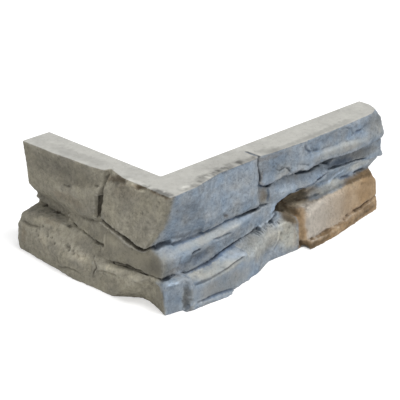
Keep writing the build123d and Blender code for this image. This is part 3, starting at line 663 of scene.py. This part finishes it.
def lay_patches(surface, blur, short, long):
    """One value for each point, from soft patches laid on the legs."""
    x, y, z = surface.at.T
    out = surface.lean(4)
    on_short_face = soft_step(out[:, 1] - out[:, 0], -0.5, 0.1)
    on_long_face = soft_step(out[:, 0] - out[:, 1], -0.5, 0.1)
    laid = np.zeros(len(x))
    for patches, place, facing in ((short, y, on_short_face), (long, x, on_long_face)):
        for along, height, length, rise, strength in patches:
            off = np.sqrt(((place - along) / length) ** 2 + ((z - height) / rise) ** 2)
            laid += strength * facing * soft_step(-off + 0.16 * blur, -1.25, -0.45)
    return laid


class Strokes:
    """Soft strokes along lines, each with its width and strength, that add up to a value for each point."""

    def __init__(self, surface):
        self.surface = surface
        self.values = np.zeros(len(surface.at))
        self.count = 0

    def lay(self, line, width, strength):
        self.surface.stain(line, width, strength, self.values, seed=400 + self.count)
        self.count += 1

    def short(self, points, width, strength):
        """A stroke on the short leg."""
        self.lay(on_short(points), width, strength)

    def long(self, points, width, strength):
        """A stroke on the long leg."""
        self.lay(on_long(points), width, strength)


def mark_arris(stroke):
    """Short dark and pale strokes where the top face of the long leg breaks off."""
    rng, marks = np.random.default_rng(8), 32
    arris_along = [-14, 1, 19, 34, 46, 75, 100, 220, 255]
    arris_out = [36, 35, 31, 29, 28, 28, 30, 29, 23]
    for _ in range(marks):
        x = rng.uniform(-12, 88)
        out = np.interp(x, arris_along, arris_out) - rng.uniform(0, 5)
        end = (x + rng.uniform(2, 7), course_height, out - rng.uniform(-1, 1.5))
        stroke([(x, course_height, out), end], rng.uniform(1.2, 2.6), rng.choice([-0.35, -0.2, 0.3]))


def tone_and_painted_light(surface):
    """Tone marks, painted shadow in hollows and under ledges, and painted highlights: above nought is pale.
    """
    strokes = Strokes(surface)
    short, long = strokes.short, strokes.long
    mark_arris(long)
    short([(18, 99, 24), (8, 99.5, 24), (-6, 99.5, 24)], 2, 0.25)
    short([(40, 94, 23), (32, 94, 24.5), (24.6, 97, 23.9), (17, 99.2, 23.9)], 3.4, -0.2)
    # Painted shadow under the foot of the upper course, on both legs
    short([(8, 56, 38), (-3.5, 54.2, 38.6), (-8.8, 53, 39), (-14, 52.2, 39.4), (-19.5, 51.8, 39.6)],
          1.7, -1.6)
    long([(-40, 52.4, 15), (-35, 52.2, 20.3), (-30, 53, 22.5), (-25, 54.4, 24.4), (-17, 53.4, 24.6)],
         1.7, -1.5)
    short([(3.1, 96, 25.2), (-2.3, 98.2, 24.5), (-8.5, 99.8, 23.2)], 2.4, -0.6)
    short([(20.5, 93.6, 25.6), (12.9, 96.6, 24.7), (5, 97.6, 24.5)], 1.6, 0.35)
    short([(4.2, 94.2, 25.6), (-0.4, 94.9, 25.4), (-6.6, 97, 25)], 1.4, 0.4)
    short(corner_break, 2.2, -0.8)
    short([(128, 37.5, 16.5), (113, 36, 18), (98, 37, 20)], 4, -0.3)
    short([(88.5, 73, 27), (80, 75, 28)], 2, -0.35)
    short([(24, 23.6, 37.5), (11, 24.6, 37.5), (-3, 25.4, 37.7), (-13, 24.6, 38.4)], 3, 0.75)
    short([(-14, 27.6, 38), (-24, 28.4, 38), (-34, 27, 38)], 2, 0.5)
    short(pale_streak, 4.5, 0.35)
    short([(66, 21.3, 41), (58.1, 21.1, 41), (49.4, 20.8, 41.1)], 4, 0.5)
    short([(34, 46, 32.6), (34.5, 41, 33), (34, 37.5, 33.6)], 1.8, 0.7)
    long([(-35, 98, 22.5), (-32, 96, 23.5), (-26, 98.5, 23)], 2.4, -0.5)
    long([(-20, 30.8, 35.2), (-14, 31, 34.9), (-9, 31.6, 34.5)], 2.4, 0.25)
    long([(-34, 27.3, 42.6), (-30, 27.2, 43), (-24, 27, 43.9)], 2, 1.1)
    long([(-10, 4, 51.9), (8, 3.6, 51), (29, 2, 50.6)], 1.6, 0.5)
    long([(140, 84, 32), (160, 82.5, 32.6), (184, 81.4, 31), (206, 80.9, 31.6), (227, 78, 33)], 2.6, 0.4)
    long([(122, 78, 30), (130, 74, 30), (146, 70, 27)], 2.2, -0.4)
    long([(186, 69, 26), (184, 65, 25), (190, 62, 25.6)], 4, -0.4)
    long(slope_rib, 2.4, 0.7)
    # Painted shade in the hollow over the tan stone, and painted highlights on its rims
    long([(132.4, 36.5, 12), (127.3, 34.1, 14), (118, 37, 24)], 1.5, -0.9)
    long([(119, 48, 25.4), (121, 42, 23), (124, 38, 19), (128, 37, 14)], 3, 0.7)
    long([(128, 36, 13), (130, 42, 13), (135, 47, 16), (142, 49.4, 21)], 6, -1.1)
    long([(137, 30, 15), (138, 32, 20), (140, 35.5, 24), (146, 36.5, 26)], 4, 1)
    long([(119, 35, 26), (124, 32.5, 30), (128, 29.5, 32), (130, 27, 33.5)], 5, -0.6)
    long([(94, 100, 24), (104, 100, 25), (114, 100, 27)], 4, -0.3)
    long([(130, 31, 13), (134, 35, 14)], 5, -0.2)
    long([(226, 36, 26), (227.6, 33.6, 28), (233, 32.6, 28)], 1.4, -0.5)
    long([(30, 100, 18), (60, 100, 17), (84, 100, 20)], 8, -0.14)
    long([(8, 100, 30), (22, 100, 29), (52, 100, 26), (80, 100, 25)], 3, -0.4)
    long([(-16.5, 22, 47), (-17, 10, 46.8), (-17.5, 0, 46.7)], 5, -0.8)
    long([(-28, 56.5, 25), (-16, 55.6, 26), (4, 53.6, 27.5), (30, 53.8, 28.5)], 3, -0.45)
    long([(50, 54.6, 28.4), (78, 54.4, 28)], 2.6, -0.4)
    long([(136.5, 30, 30), (136.5, 20, 35), (136.5, 12, 36)], 4, 0.12)
    long([(135.5, 7, 35), (137.5, 4, 37.5), (140, 0.5, 40)], 2.2, -1.2)
    long([(139, 4, 40), (146, 3, 41)], 4, -0.5)
    long([(100, 100, 27), (130, 100, 28), (170, 100, 28), (215, 100, 26)], 2, -0.3)
    short([(120, 100, 20), (80, 100, 18), (50, 100, 16)], 3, -0.2)
    long([(106, 29.8, 30), (121, 29, 31.8), (129, 26.5, 34)], 1.6, 0.6)
    long([(109.6, 25.3, 33.3), (108, 16.1, 33.8), (99.1, 9.2, 33.7)], 1.2, 0.5)
    long([(57, 31.6, 30.8), (80, 32.8, 29), (112, 35, 26)], 1.5, 0.35)
    long([(144, 35.5, 30), (144, 33, 33), (143, 30, 36)], 2.6, 0.7)
    long([(156, 46.5, 23), (163, 48.5, 24.5), (168, 46, 26)], 2.4, 0.7)
    long([(170, 50, 25), (176, 46, 26)], 2.4, 0.5)
    long([(196, 41, 27), (204, 43.2, 25)], 2.2, -0.35)
    long([(141, 38.2, 34), (156, 39.4, 31), (181, 40.4, 30.6), (212, 39.8, 27.8), (229, 38.4, 26.4),
          (252, 36, 23)], 1.8, -0.55)
    long([(156, 1.5, 42), (178, 2, 41), (198, 4, 37)], 2.4, 0.5)
    return strokes.values


def brown_stains_and_shade(surface):
    """Brown and ochre stains on chips and down the face, and painted brown shade in the hollows."""
    strokes = Strokes(surface)
    short, long = strokes.short, strokes.long
    short([(134.9, 25, 39.9), (134, 18.1, 41), (134.2, 8, 40.9)], 4.5, 0.3)
    short([(40, 94, 23), (33, 95, 24.5), (24.6, 98.1, 23.9), (15, 99.8, 23.9)], 4, 0.6)
    short([(26, 92, 25.8), (20.5, 93.6, 25.6), (12.9, 96.6, 24.7), (5, 97.6, 24.5)], 1.6, 0.5)
    short([(30, 88, 26), (14, 88, 26), (-4, 92, 25.6)], 7, 0.16)
    short([(4, 96, 25.2), (-2.3, 98.5, 24.5), (-9, 100, 23.2)], 2.6, 0.9)
    short(corner_break, 2.6, 0.6)
    short([(108, 60, 26), (88, 62, 26), (66, 60, 26)], 6, 0.25)
    short([(46, 64, 28), (46, 58, 28)], 4, 0.4)
    short(pale_streak, 5, 0.14)
    short([(66, 21.3, 41), (58, 21.1, 41), (49, 20.8, 41.1)], 4.5, 0.12)
    short([(120, 34, 27), (96, 34, 28)], 3, 0.3)
    long([(-26, 32, 35.2), (-14, 32, 34.9), (-4, 33, 34.5)], 5, 0.35)
    long([(44, 60, 31), (50, 57, 30)], 2.6, 0.5)
    long([(92.5, 84, 26.6), (92.8, 72, 26.6)], 3, 0.5)
    long([(143, 34.5, 26), (150, 36, 28)], 3, 0.3)
    long([(97, 67, 25), (98, 54, 26)], 6, 0.45)
    long([(204, 40, 27), (215, 40.3, 26), (226, 40.6, 24.5), (239, 41, 23)], 4, 1)
    long([(236, 38, 24), (248, 38, 22), (254, 39, 19)], 4.5, 1.1)
    long([(129.5, 26, 34), (129.3, 14, 34.9), (130, 3, 35.3)], 3.6, 0.35)
    long([(137, 40, 22), (137, 34, 29), (136.5, 18, 35), (137, 2, 37)], 5, 0.5)
    long([(134, 38, 14), (138, 34, 18), (139, 33, 26)], 4, 0.5)
    long([(232, 36, 26), (254, 30, 25)], 8, 0.3)
    long([(136, 2, 40), (150, 2.5, 42), (170, 3, 41)], 6, 1.3)
    long([(165, 2.5, 42), (200, 4, 38), (250, 6, 30)], 5, 0.5)
    long([(141, 43, 16), (148, 44, 20), (156, 45.5, 24), (166, 45.5, 26)], 4, 0.45)
    long([(130, 30, 14), (133, 38, 13), (138, 42, 14)], 4, 0.6)
    long([(120, 36, 25), (125, 33.5, 29), (129, 30, 32), (131, 26, 33.5)], 5, 0.6)
    long([(86, 96, 28), (100, 96, 28), (118, 96, 29)], 3, 0.35)
    long([(120, 99, 20), (124, 99.6, 25)], 3, 0.4)
    long([(100, 64, 25), (98, 55, 26)], 5, 0.25)
    return strokes.values


def paint_blue_shade(surface):
    """Painted blue shade in the hollows and under the ledges of the blue faces."""
    strokes = Strokes(surface)
    long = strokes.long
    long([(-12, 50.2, 27), (15.5, 49.6, 27.8), (49, 52.2, 28.4), (80, 51.4, 27)], 1.8, 0.8)
    long([(-4, 24.4, 35), (20, 24.6, 33.6), (46, 29, 31.5), (62, 30, 30.6)], 1.8, 0.8)
    long([(88, 73, 27), (96, 70.4, 26), (110, 69.4, 27), (120, 73.6, 29), (138, 69.8, 24)], 2, 0.7)
    long([(104, 65, 25), (103.4, 58, 26), (102, 53, 25.4)], 1.8, 0.25)
    long([(137, 54, 27.3), (150, 52.6, 26), (163, 54.4, 27.8), (179, 59.4, 26.6)], 1.8, 0.5)
    long([(-2, 4.6, 51.6), (14, 4.2, 51), (34, 2.4, 50.5)], 1.4, 0.7)
    long([(186, 64, 25.5), (200, 62.4, 26.5), (214, 62, 27)], 4, 0.6)
    long([(4, 33, 34), (20, 33.6, 33.5)], 5, 0.4)
    long([(200, 44.6, 24), (210, 44, 23.6), (216, 43.2, 23.6)], 2.2, 0.7)
    long([(143.4, 96, 32), (145, 91.4, 32), (152, 87.4, 32)], 2.4, 0.4)
    long([(213, 88, 29.6), (222, 87.4, 30)], 2.4, 0.5)
    return strokes.values


def blue_share(surface, blur):
    """The blue wash: past a ragged edge near the corner, which wanders with height."""
    x, y, z = surface.at.T
    edge = np.interp(
        z,
        [0, 15, 26, 31, 38, 46, 53, 61, 69, 79, 90, 100],
        [5.5, 3, -5, 3, 6, 2, -12, -4, 5, 10, 13, 15],
    )
    spread = np.interp(z, [0, 20, 28, 34, 48, 56, 100], [3, 5, 9, 12, 10, 6, 6])
    return soft_step(x - y + 2 * blur, edge - 0.6 * spread, edge + spread)


def tan_share(surface, blur):
    """The tan wash over the stone at the far end of the lower course."""
    x, y, z = surface.at.T
    tan_top = np.interp(x, [136, 150, 196, 212, 230, 255], [37, 38.5, 38.5, 40, 41, 42])
    tan = soft_step(x + 0.5 * blur, 133, 135) * soft_step(tan_top - z + 0.6 * blur, -1.2, 0.8)
    return tan * soft_step(-y + blur, 15, 20)


def pale_tan_share(surface, blur):
    """The pale part of the tan stone's face, next to its near arris and over its foot."""
    x, _, z = surface.at.T
    near_part = 0.95 * soft_step(-x + 4 * blur, -232, -150)
    return near_part * soft_step(x + blur, 140, 144) * soft_step(z + 0.7 * blur, 6.5, 10)


def umber_share(surface, blur):
    """The umber wash in the hollow over the tan stone, and on the shoulder of the stone before it."""
    x, y, z = surface.at.T
    hollow = soft_step(x + 2 * blur, 124, 131) * soft_step(-x + 4 * blur, -178, -150)
    hollow = hollow * soft_step(-z, -52, -47) * soft_step(y + blur, -30, -24)
    shoulder = soft_step(x + 2 * blur, 115, 126) * soft_step(-x, -134, -132)
    shoulder = shoulder * soft_step(z + 0.45 * x + 0.5 * blur, 83, 86)
    return np.maximum(hollow, shoulder * soft_step(-z, -42, -39))


def paint(piece, surface, dressed):
    """Marks for its colours: washes, stains, painted light and shade, dark joints partly painted shade,
    worn arrises.
    """
    at = surface.at
    hollow = ((surface.even(at, 10) - at) * surface.lean(4)).sum(axis=1)
    blur = cloud(at, 11, 21) + 0.6 * cloud(at, 4, 22)
    outer = soft_step(dressed, 0.35, 0.9)
    tan = tan_share(surface, blur)
    buff = np.clip(lay_patches(surface, blur, (), long_buffs), 0, 1)
    buff += (pale_tan_share(surface, blur) - buff) * tan
    shade = np.clip(lay_patches(surface, blur, short_painted_light_and_tone, long_painted_light_and_tone), -1, 1)
    surface.tone = np.clip(tone_and_painted_light(surface), -1, 1)
    for name, values in (
        ("blue_wash", blue_share(surface, blur) * outer),
        ("tan_wash", tan * outer),
        ("umber_wash", umber_share(surface, blur) * outer),
        ("buff_wash", buff * outer),
        ("wash_depth_and_painted_light", 0.5 + 0.5 * shade * outer),
        ("tone_and_painted_light", 0.5 + 0.5 * surface.tone),
        ("brown_stain_and_shade", np.clip(brown_stains_and_shade(surface), 0, 1) * outer),
        ("blue_painted_shade", np.clip(paint_blue_shade(surface), 0, 1) * outer),
        ("smooth_wash", surface.calm),
        ("bare_cement", 1 - outer),
        # Dirt and painted shade in the cut joints, and painted shade where the surface is hollow
        ("joint_dirt", np.clip(surface.dirt + 0.4 * soft_step(hollow, 0.25, 1.0) * outer, 0, 1)),
        ("worn_arris", soft_step(-hollow, 0.1, 0.6)),
    ):
        layer = piece.data.attributes.new(name, "FLOAT", "POINT")
        layer.data.foreach_set("value", values.astype(np.float32))


def shape_into(piece, surface):
    """Puts the dressed surface back into the mesh."""
    piece.data.vertices.foreach_set("co", (surface.at * MM).ravel())
    piece.data.update()
    normals = np.empty(len(surface.at) * 3)
    piece.data.vertices.foreach_get("normal", normals)
    surface.normal = normals.reshape(-1, 3).copy()


def hold_marked_faces(piece, surface, dressed):
    """Holds the points of the flat faces where they meet the broken stone or carry a mark, so that no long
    face smears the marks there. Gives the name of the group of points."""
    margin, rim, top_band = 40, 4, 0.6
    beside_stone = surface.even(dressed, margin) > 0.003
    marked = (np.abs(surface.tone) > 0.01) | (surface.dirt > 0.02)
    top = surface.at[:, 2] > course_height - top_band
    flat = dressed < 0.02
    held = surface.even(((beside_stone & top) | (marked & flat)).astype(float), rim) > 0.05
    group = piece.vertex_groups.new(name="held")
    group.add(np.flatnonzero(held).tolist(), 1.0, "REPLACE")
    return group.name


def thin_out(piece, surface, dressed):
    """Brings the mesh down to the most triangles that it may have, with the held points as they are."""
    triangles = sum(len(p.vertices) - 2 for p in piece.data.polygons)
    if triangles <= most_triangles:
        return
    add_and_apply(
        piece,
        "DECIMATE",
        ratio=most_triangles / triangles,
        vertex_group=hold_marked_faces(piece, surface, dressed),
        invert_vertex_group=True,
        vertex_group_factor=0.01,
    )
    piece.vertex_groups.clear()


def new_material(name):
    """A material with an empty tree."""
    material = bpy.data.materials.new(name)
    material.use_nodes = True
    material.node_tree.nodes.clear()
    return material


class Nodes:
    """Places and joins nodes in one tree."""

    def __init__(self, tree):
        self.tree = tree

    def feed(self, socket, value):
        """Joins another node's output to a socket, or sets the socket to a plain value."""
        if isinstance(value, bpy.types.NodeSocket):
            self.tree.links.new(value, socket)
        else:
            socket.default_value = value

    def add(self, kind, inputs=None, **settings):
        """A new node with its settings and inputs."""
        node = self.tree.nodes.new(kind)
        for name, value in settings.items():
            setattr(node, name, value)
        for name, value in (inputs or {}).items():
            self.feed(node.inputs[name], value)
        return node

    def show(self, shader, kind="ShaderNodeOutputMaterial"):
        """Joins a shader to the tree's output."""
        self.feed(self.add(kind).inputs["Surface"], shader.outputs[0])

    def mark(self, name):
        """One of the marks painted on the surface."""
        return self.add("ShaderNodeAttribute", attribute_name=name).outputs["Fac"]

    def maths(self, operation, *values):
        node = self.add("ShaderNodeMath", operation=operation)
        for socket, value in zip(node.inputs, values):
            self.feed(socket, value)
        return node.outputs[0]

    def blend(self, share, one, two, kind="MIX"):
        """Two colours mixed, or multiplied, by a share."""
        node = self.add("ShaderNodeMix", data_type="RGBA", blend_type=kind)
        factor_in, first_in, second_in, colour_out = 0, 6, 7, 2
        for socket, value in ((factor_in, share), (first_in, one), (second_in, two)):
            self.feed(node.inputs[socket], value)
        return node.outputs[colour_out]

    def grey(self, value):
        """A value as a grey, to multiply a colour with."""
        return self.add("ShaderNodeCombineColor", {"Red": value, "Green": value, "Blue": value}).outputs[0]

    def ramp(self, value, low, high, to_low=0.0, to_high=1.0):
        """A value moved from one range to another, and kept inside it."""
        return self.add(
            "ShaderNodeMapRange",
            {"Value": value, "From Min": low, "From Max": high, "To Min": to_low, "To Max": to_high},
        ).outputs[0]


def colour(red, green, blue):
    """A colour as a paint chart writes it, 0 to 255."""
    parts = [c / 255 for c in (red, green, blue)]
    return (*[c / 12.92 if c <= 0.04045 else ((c + 0.055) / 1.055) ** 2.4 for c in parts], 1.0)


def mottle_group():
    """Uneven wash on cast stone: broad clouds, small blotches and fine grain, each about 0 to 1."""
    group = bpy.data.node_groups.new("wash mottle", "ShaderNodeTree")
    group.interface.new_socket("Place", in_out="INPUT", socket_type="NodeSocketVector")
    for name in ("Clouds", "Blotches", "Grain"):
        group.interface.new_socket(name, in_out="OUTPUT", socket_type="NodeSocketFloat")
    n = Nodes(group)
    place = n.add("NodeGroupInput").outputs["Place"]
    out = n.add("NodeGroupOutput")
    for name, scale, detail, roughness, distortion, low, high in (
        ("Clouds", 62, 3, 0.5, 0, 0.32, 0.68),
        ("Blotches", 190, 3, 0.5, 0, 0.32, 0.68),
        ("Grain", 430, 4, 0.7, 0.8, 0.3, 0.7),
    ):
        noise = n.add("ShaderNodeTexNoise", {"Vector": place, "Scale": scale, "Detail": detail})
        n.feed(noise.inputs["Roughness"], roughness)
        n.feed(noise.inputs["Distortion"], distortion)
        group.links.new(n.ramp(noise.outputs[0], low, high), out.inputs[name])
    return group


def cast_stone():
    """Cast stone: taupe and blue-grey washes, tan stone, painted light and shade, hollows dark with dirt
    and painted shade, and bare cement.
    """
    material = new_material("cast stone")
    n = Nodes(material.node_tree)
    mottle = n.add("ShaderNodeGroup", node_tree=mottle_group())
    n.feed(mottle.inputs["Place"], n.add("ShaderNodeTexCoord").outputs["Object"])
    clouds, blotches, grain = (mottle.outputs[k] for k in ("Clouds", "Blotches", "Grain"))

    blue_side = n.mark("blue_wash")
    taupe = n.blend(clouds, colour(141, 137, 125), colour(151, 146, 130))
    blue = n.blend(clouds, colour(138, 153, 169), colour(158, 163, 167))
    buff = n.blend(clouds, colour(164, 164, 156), colour(176, 172, 160))
    tan = n.blend(n.ramp(clouds, 0.2, 0.8), colour(166, 140, 108), colour(182, 158, 128))
    pale_tan = n.blend(clouds, colour(188, 181, 171), colour(194, 187, 177))
    umber = n.blend(clouds, colour(130, 120, 102), colour(152, 142, 124))
    cement = n.blend(clouds, colour(183, 182, 176), colour(199, 198, 191))

    # Washes, from the ground coat up
    skin = n.blend(blue_side, taupe, blue)
    buffed = n.mark("buff_wash")
    skin = n.blend(buffed, skin, buff)
    skin = n.blend(n.mark("tan_wash"), skin, n.blend(buffed, tan, pale_tan))
    skin = n.blend(n.mark("umber_wash"), skin, umber)
    # Brown stains, partly painted brown shade in hollows, and painted blue shade under the ledges
    for stain, strength, pigment in (
        ("brown_stain_and_shade", 0.75, colour(120, 100, 74)),
        ("blue_painted_shade", 0.8, colour(66, 92, 126)),
    ):
        skin = n.blend(n.maths("MULTIPLY", n.mark(stain), strength), skin, pigment)

    # Light and dark, partly painted light and shade: patches, mottle and strokes, each by how much it can
    # change the colour
    patch_reach, stroke_reach, blotch_reach, grain_reach, calm_share = 0.58, 0.75, 0.16, 0.2, 0.5
    depth = n.ramp(n.mark("wash_depth_and_painted_light"), 0.0, 1.0, 1 - patch_reach, 1 + patch_reach)
    uneven_blotches = n.ramp(blotches, 0.0, 1.0, -blotch_reach, blotch_reach)
    uneven = n.maths("ADD", uneven_blotches, n.ramp(grain, 0.0, 1.0, -grain_reach, grain_reach))
    uneven = n.maths("MULTIPLY", uneven, n.ramp(n.mark("smooth_wash"), 0.0, 1.0, 1.0, calm_share))
    depth = n.maths("MULTIPLY", depth, n.maths("ADD", uneven, 1.0))
    tone = n.ramp(n.mark("tone_and_painted_light"), 0.0, 1.0, 1 - stroke_reach, 1 + stroke_reach)
    skin = n.blend(1.0, skin, n.grey(n.maths("MULTIPLY", depth, tone)), kind="MULTIPLY")

    # Bare cement on the cast faces, worn arrises, grime with painted shade in the joints and hollows, and
    # grime in the deepest pores
    pale_cement, wear, dirt, pore_dirt, pore_size = 0.4, 0.25, 0.88, 0.3, 0.28
    cement = n.blend(n.maths("MULTIPLY", blotches, pale_cement), cement, colour(214, 213, 208))
    cement = n.blend(1.0, cement, n.grey(tone), kind="MULTIPLY")
    skin = n.blend(n.mark("bare_cement"), skin, cement)
    skin = n.blend(n.maths("MULTIPLY", n.mark("worn_arris"), wear), skin, colour(198, 198, 194))
    grime_and_shade = n.blend(blue_side, colour(62, 58, 48), colour(38, 46, 56))
    grime_and_shade = n.blend(n.mark("tan_wash"), grime_and_shade, colour(86, 72, 56))
    skin = n.blend(n.maths("MULTIPLY", n.mark("joint_dirt"), dirt), skin, grime_and_shade)
    skin = n.blend(n.ramp(grain, 0.0, pore_size, pore_dirt, 0.0), skin, grime_and_shade)

    # The grain's relief, and the finish
    relief = 0.0009
    height = n.maths("ADD", n.maths("MULTIPLY", blotches, 0.4), n.maths("MULTIPLY", grain, 0.6))
    bump = n.add("ShaderNodeBump", {"Height": height, "Strength": 0.6, "Distance": relief})
    finish = n.add(
        "ShaderNodeBsdfPrincipled",
        {
            "Base Color": skin,
            "Roughness": n.ramp(blotches, 0.0, 1.0, 0.86, 0.96),
            "Normal": bump.outputs[0],
            "Specular IOR Level": 0.25,
        },
    )
    n.show(finish)
    return material


def pale_floor():
    """A plain floor, a little lighter to the camera than it is lit, so that it runs into the white sky."""
    glow = 0.42
    bpy.ops.mesh.primitive_plane_add(size=8.0, location=(0, 0, 0))
    floor = bpy.context.object
    floor.name = "studio_floor"
    paper = new_material("white paper")
    n = Nodes(paper.node_tree)
    seen = n.add("ShaderNodeLightPath").outputs["Is Camera Ray"]
    finish = n.add("ShaderNodeBsdfPrincipled", {"Base Color": colour(232, 232, 232), "Roughness": 0.95})
    n.feed(finish.inputs["Emission Strength"], n.maths("MULTIPLY", seen, glow))
    n.feed(finish.inputs["Emission Color"], (1, 1, 1, 1))
    n.show(finish)
    floor.data.materials.append(paper)


def white_sky():
    """A sky that looks white and lights the scene softly."""
    light, seen_as_white = 0.4, 1.0
    world = bpy.data.worlds.new("studio")
    bpy.context.scene.world = world
    world.use_nodes = True
    world.node_tree.nodes.clear()
    n = Nodes(world.node_tree)
    path = n.add("ShaderNodeLightPath")
    shown = n.maths("MAXIMUM", path.outputs["Is Camera Ray"], path.outputs["Is Glossy Ray"])
    shown = n.maths("MAXIMUM", shown, path.outputs["Is Transmission Ray"])
    strength = n.ramp(shown, 0.0, 1.0, light, seen_as_white)
    sky = n.add("ShaderNodeBackground", {"Color": (1, 1, 1, 1), "Strength": strength})
    n.show(sky, kind="ShaderNodeOutputWorld")


def soft_lamps():
    """A high key lamp and a low side lamp, turned in degrees."""
    for name, azimuth, elevation, strength, softness in (
        ("key lamp", 14, 66, 1.75, 24),
        ("side lamp", -55, 30, 0.55, 50),
    ):
        lamp = bpy.data.lights.new(name, "SUN")
        lamp.energy = strength
        lamp.angle = math.radians(softness)
        holder = bpy.data.objects.new(name, lamp)
        bpy.context.collection.objects.link(holder)
        holder.rotation_euler = (math.radians(90 - elevation), 0, math.radians(azimuth))


def photo_camera():
    """The camera where the photo was taken from, in metres and degrees."""
    place = (-0.77872, -0.82659, 0.58076)
    look_down, look_across = 23.855, -44.92
    lens = bpy.data.cameras.new("camera")
    lens.lens = 135.0
    lens.sensor_width = 36.0
    lens.clip_start = 0.05
    lens.clip_end = 30.0
    camera = bpy.data.objects.new("camera", lens)
    bpy.context.collection.objects.link(camera)
    camera.location = place
    camera.rotation_euler = (math.radians(90 - look_down), 0, math.radians(look_across))
    bpy.context.scene.camera = camera


piece = raw_casting()
surface = Surface(piece)
dressed = dress(surface)
shape_into(piece, surface)
paint(piece, surface, dressed)
thin_out(piece, surface, dressed)
select_only(piece)
bpy.ops.object.shade_smooth()
piece.data.materials.clear()
piece.data.materials.append(cast_stone())
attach(piece, "root")
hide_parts("corner_stone")

pale_floor()
white_sky()
soft_lamps()
photo_camera()
bpy.context.scene.view_settings.view_transform = "Standard"
